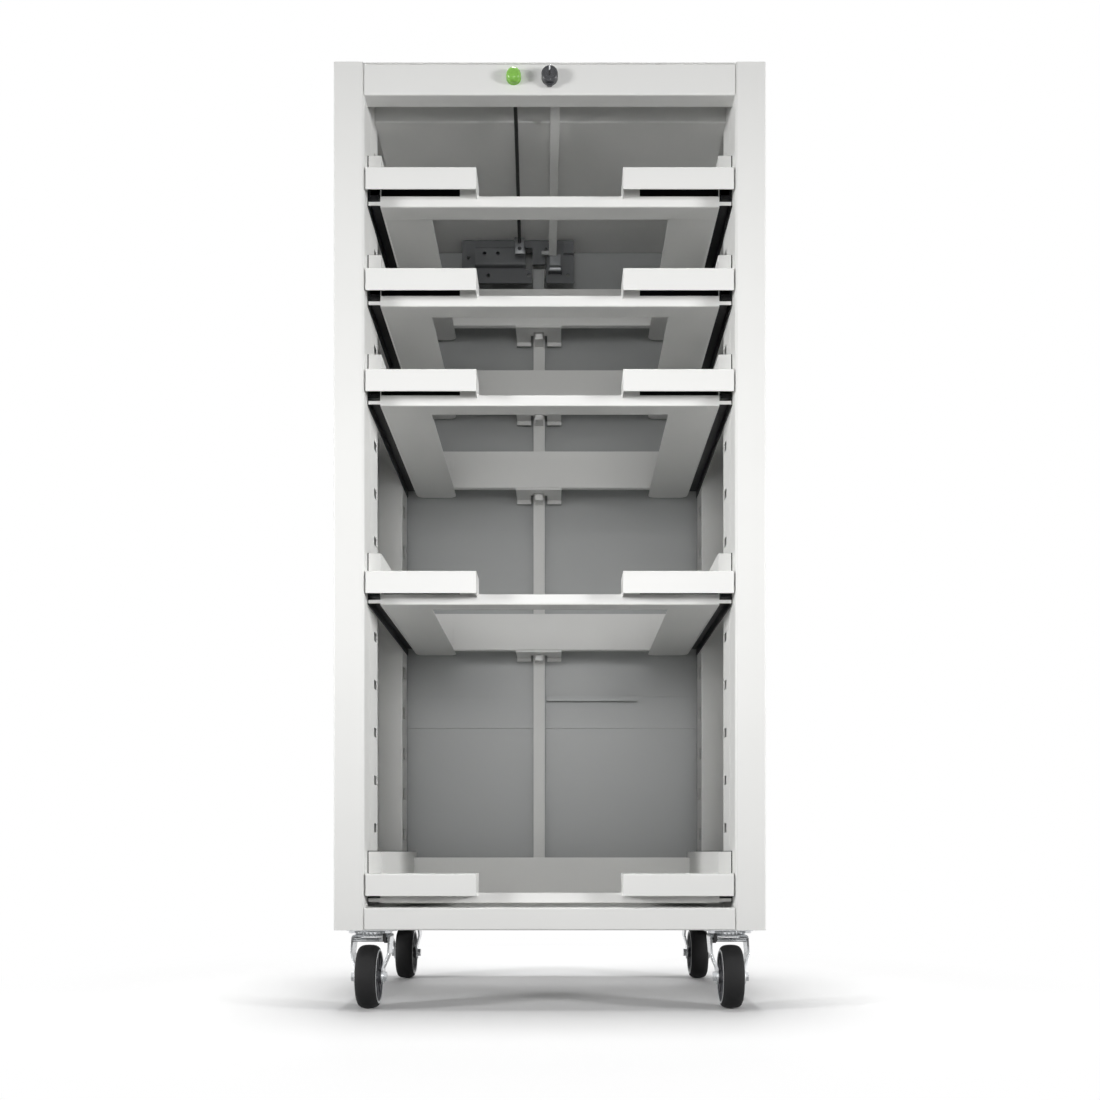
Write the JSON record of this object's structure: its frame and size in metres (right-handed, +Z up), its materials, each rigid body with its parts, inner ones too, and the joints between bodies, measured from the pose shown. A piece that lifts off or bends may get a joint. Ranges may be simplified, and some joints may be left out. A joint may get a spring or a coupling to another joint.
{
  "type": "tool case storage cabinet",
  "caption": "Open-front mobile sheet steel cabinet with pull-out trays for tool cases, central lock with push button and turning knob, and swivel casters.",
  "frame": {"origin": "centre of the bounding box's underside, on the floor between the wheels", "axes": "+X to the viewer's right when facing the open front, +Y from the front to the back, +Z up from the floor"},
  "size_m": [0.535, 0.451, 1.175],
  "materials": {
    "body_paint": "satin light grey powder coat on sheet steel",
    "slide_steel": "black coated rolled steel",
    "zinc": "bright zinc plated steel",
    "black_zinc": "black satin die cast zinc",
    "black_wire": "black coated steel wire and sheet",
    "button_plastic": "glossy green plastic",
    "wheel_plastic": "matt grey moulded plastic",
    "tyre": "matt black rubber"
  },
  "bodies": {
    "cabinet": {"side_panel_left": "body_paint", "side_panel_right": "body_paint", "top_panel": "body_paint", "header": "body_paint", "ceiling_plate": "body_paint", "bottom_panel": "body_paint", "base_channels": "body_paint", "back_panel_lower": "body_paint", "back_panel_upper": "body_paint", "back_rail": "body_paint", "upright_front_left": "body_paint", "upright_front_right": "body_paint", "upright_rear_left": "body_paint", "upright_rear_right": "body_paint", "slide_outer_members": "slide_steel", "screws": "zinc", "lock_barrel": "black_zinc", "mechanism_plate": "body_paint", "lock_bar_guides": "zinc", "caster_plates": "zinc"},
    "lock_bar": {"lock_bar": "zinc"},
    "lock_knob": {"lock_knob": "black_zinc"},
    "link_bar": {"link_bar": "zinc"},
    "latch_lever": {"latch_lever": "zinc"},
    "button": {"push_button": "button_plastic", "push_rod": "black_wire"},
    "tray_1": {"tray_1": "body_paint", "tray_rear_wall_1": "body_paint", "slide_inner_members_1": "slide_steel"},
    "slide_1": {"slide_middle_members_1": "slide_steel"},
    "tray_2": {"tray_2": "body_paint", "tray_rear_wall_2": "body_paint", "slide_inner_members_2": "slide_steel"},
    "slide_2": {"slide_middle_members_2": "slide_steel"},
    "tray_3": {"tray_3": "body_paint", "tray_rear_wall_3": "body_paint", "slide_inner_members_3": "slide_steel"},
    "slide_3": {"slide_middle_members_3": "slide_steel"},
    "tray_4": {"tray_4": "body_paint", "tray_rear_wall_4": "body_paint", "slide_inner_members_4": "slide_steel"},
    "slide_4": {"slide_middle_members_4": "slide_steel"},
    "tray_5": {"tray_5": "body_paint", "tray_rear_wall_5": "body_paint", "slide_inner_members_5": "slide_steel"},
    "slide_5": {"slide_middle_members_5": "slide_steel"},
    "caster_front_left": {"caster_fork_front_left": "zinc"},
    "wheel_front_left": {"wheel_hub_front_left": "wheel_plastic", "tyre_front_left": "tyre"},
    "brake_lever_left": {"brake_lever_left": "black_wire"},
    "caster_front_right": {"caster_fork_front_right": "zinc"},
    "wheel_front_right": {"wheel_hub_front_right": "wheel_plastic", "tyre_front_right": "tyre"},
    "brake_lever_right": {"brake_lever_right": "black_wire"},
    "caster_rear_left": {"caster_fork_rear_left": "zinc"},
    "wheel_rear_left": {"wheel_hub_rear_left": "wheel_plastic", "tyre_rear_left": "tyre"},
    "caster_rear_right": {"caster_fork_rear_right": "zinc"},
    "wheel_rear_right": {"wheel_hub_rear_right": "wheel_plastic", "tyre_rear_right": "tyre"}
  },
  "joints": [
    {"name": "lock_bar_lift", "type": "slide", "parent": "cabinet", "child": "lock_bar", "axis": [0, 0, 1], "range_m": [0, 0.0065]},
    {"name": "lock_knob_turn", "type": "hinge", "parent": "cabinet", "child": "lock_knob", "pos_m": [0, -0.2195, 1.155], "axis": [0, 1, 0], "range_deg": [0, 90]},
    {"name": "link_bar_push", "type": "slide", "parent": "cabinet", "child": "link_bar", "axis": [0, 1, 0], "range_m": [0, 0.003]},
    {"name": "latch_lever_tilt", "type": "hinge", "parent": "cabinet", "child": "latch_lever", "pos_m": [0.005, 0.1655, 1.101], "axis": [-1, 0, 0], "range_deg": [0, 10]},
    {"name": "button_press", "type": "slide", "parent": "cabinet", "child": "button", "axis": [0, 1, 0], "range_m": [0, 0.006], "stiffness_N_per_m": 800, "springref_m": -0.003},
    {"name": "tray_1_slide", "type": "slide", "parent": "cabinet", "child": "tray_1", "axis": [0, -1, 0], "range_m": [0, 0.38]},
    {"name": "tray_1_middle_slide", "type": "slide", "parent": "cabinet", "child": "slide_1", "axis": [0, -1, 0], "range_m": [0, 0.19]},
    {"name": "tray_2_slide", "type": "slide", "parent": "cabinet", "child": "tray_2", "axis": [0, -1, 0], "range_m": [0, 0.38]},
    {"name": "tray_2_middle_slide", "type": "slide", "parent": "cabinet", "child": "slide_2", "axis": [0, -1, 0], "range_m": [0, 0.19]},
    {"name": "tray_3_slide", "type": "slide", "parent": "cabinet", "child": "tray_3", "axis": [0, -1, 0], "range_m": [0, 0.38]},
    {"name": "tray_3_middle_slide", "type": "slide", "parent": "cabinet", "child": "slide_3", "axis": [0, -1, 0], "range_m": [0, 0.19]},
    {"name": "tray_4_slide", "type": "slide", "parent": "cabinet", "child": "tray_4", "axis": [0, -1, 0], "range_m": [0, 0.38]},
    {"name": "tray_4_middle_slide", "type": "slide", "parent": "cabinet", "child": "slide_4", "axis": [0, -1, 0], "range_m": [0, 0.19]},
    {"name": "tray_5_slide", "type": "slide", "parent": "cabinet", "child": "tray_5", "axis": [0, -1, 0], "range_m": [0, 0.38]},
    {"name": "tray_5_middle_slide", "type": "slide", "parent": "cabinet", "child": "slide_5", "axis": [0, -1, 0], "range_m": [0, 0.19]},
    {"name": "caster_front_left_swivel", "type": "hinge", "parent": "cabinet", "child": "caster_front_left", "pos_m": [-0.228, -0.1525, 0.09], "axis": [0, 0, 1], "continuous": true},
    {"name": "wheel_front_left_spin", "type": "hinge", "parent": "caster_front_left", "child": "wheel_front_left", "pos_m": [-0.228, -0.1845, 0.04], "axis": [1, 0, 0], "continuous": true},
    {"name": "brake_left_press", "type": "hinge", "parent": "caster_front_left", "child": "brake_lever_left", "pos_m": [-0.21, -0.1645, 0.0842], "axis": [1, 0, 0], "range_deg": [0, 10]},
    {"name": "caster_front_right_swivel", "type": "hinge", "parent": "cabinet", "child": "caster_front_right", "pos_m": [0.228, -0.1525, 0.09], "axis": [0, 0, 1], "continuous": true},
    {"name": "wheel_front_right_spin", "type": "hinge", "parent": "caster_front_right", "child": "wheel_front_right", "pos_m": [0.228, -0.1845, 0.04], "axis": [1, 0, 0], "continuous": true},
    {"name": "brake_right_press", "type": "hinge", "parent": "caster_front_right", "child": "brake_lever_right", "pos_m": [0.21, -0.1645, 0.0842], "axis": [1, 0, 0], "range_deg": [0, 10]},
    {"name": "caster_rear_left_swivel", "type": "hinge", "parent": "cabinet", "child": "caster_rear_left", "pos_m": [-0.228, 0.1535, 0.09], "axis": [0, 0, 1], "continuous": true},
    {"name": "wheel_rear_left_spin", "type": "hinge", "parent": "caster_rear_left", "child": "wheel_rear_left", "pos_m": [-0.228, 0.1855, 0.04], "axis": [1, 0, 0], "continuous": true},
    {"name": "caster_rear_right_swivel", "type": "hinge", "parent": "cabinet", "child": "caster_rear_right", "pos_m": [0.228, 0.1535, 0.09], "axis": [0, 0, 1], "continuous": true},
    {"name": "wheel_rear_right_spin", "type": "hinge", "parent": "caster_rear_right", "child": "wheel_rear_right", "pos_m": [0.228, 0.1855, 0.04], "axis": [1, 0, 0], "continuous": true}
  ],
  "couplings": [
    {"joint": "lock_knob_turn", "follows": "lock_bar_lift", "rad_per_m": 241},
    {"joint": "link_bar_push", "follows": "lock_bar_lift", "ratio": 0.46},
    {"joint": "latch_lever_tilt", "follows": "lock_bar_lift", "rad_per_m": 26},
    {"joint": "tray_1_middle_slide", "follows": "tray_1_slide", "ratio": 0.5},
    {"joint": "tray_2_middle_slide", "follows": "tray_2_slide", "ratio": 0.5},
    {"joint": "tray_3_middle_slide", "follows": "tray_3_slide", "ratio": 0.5},
    {"joint": "tray_4_middle_slide", "follows": "tray_4_slide", "ratio": 0.5},
    {"joint": "tray_5_middle_slide", "follows": "tray_5_slide", "ratio": 0.5}
  ]
}
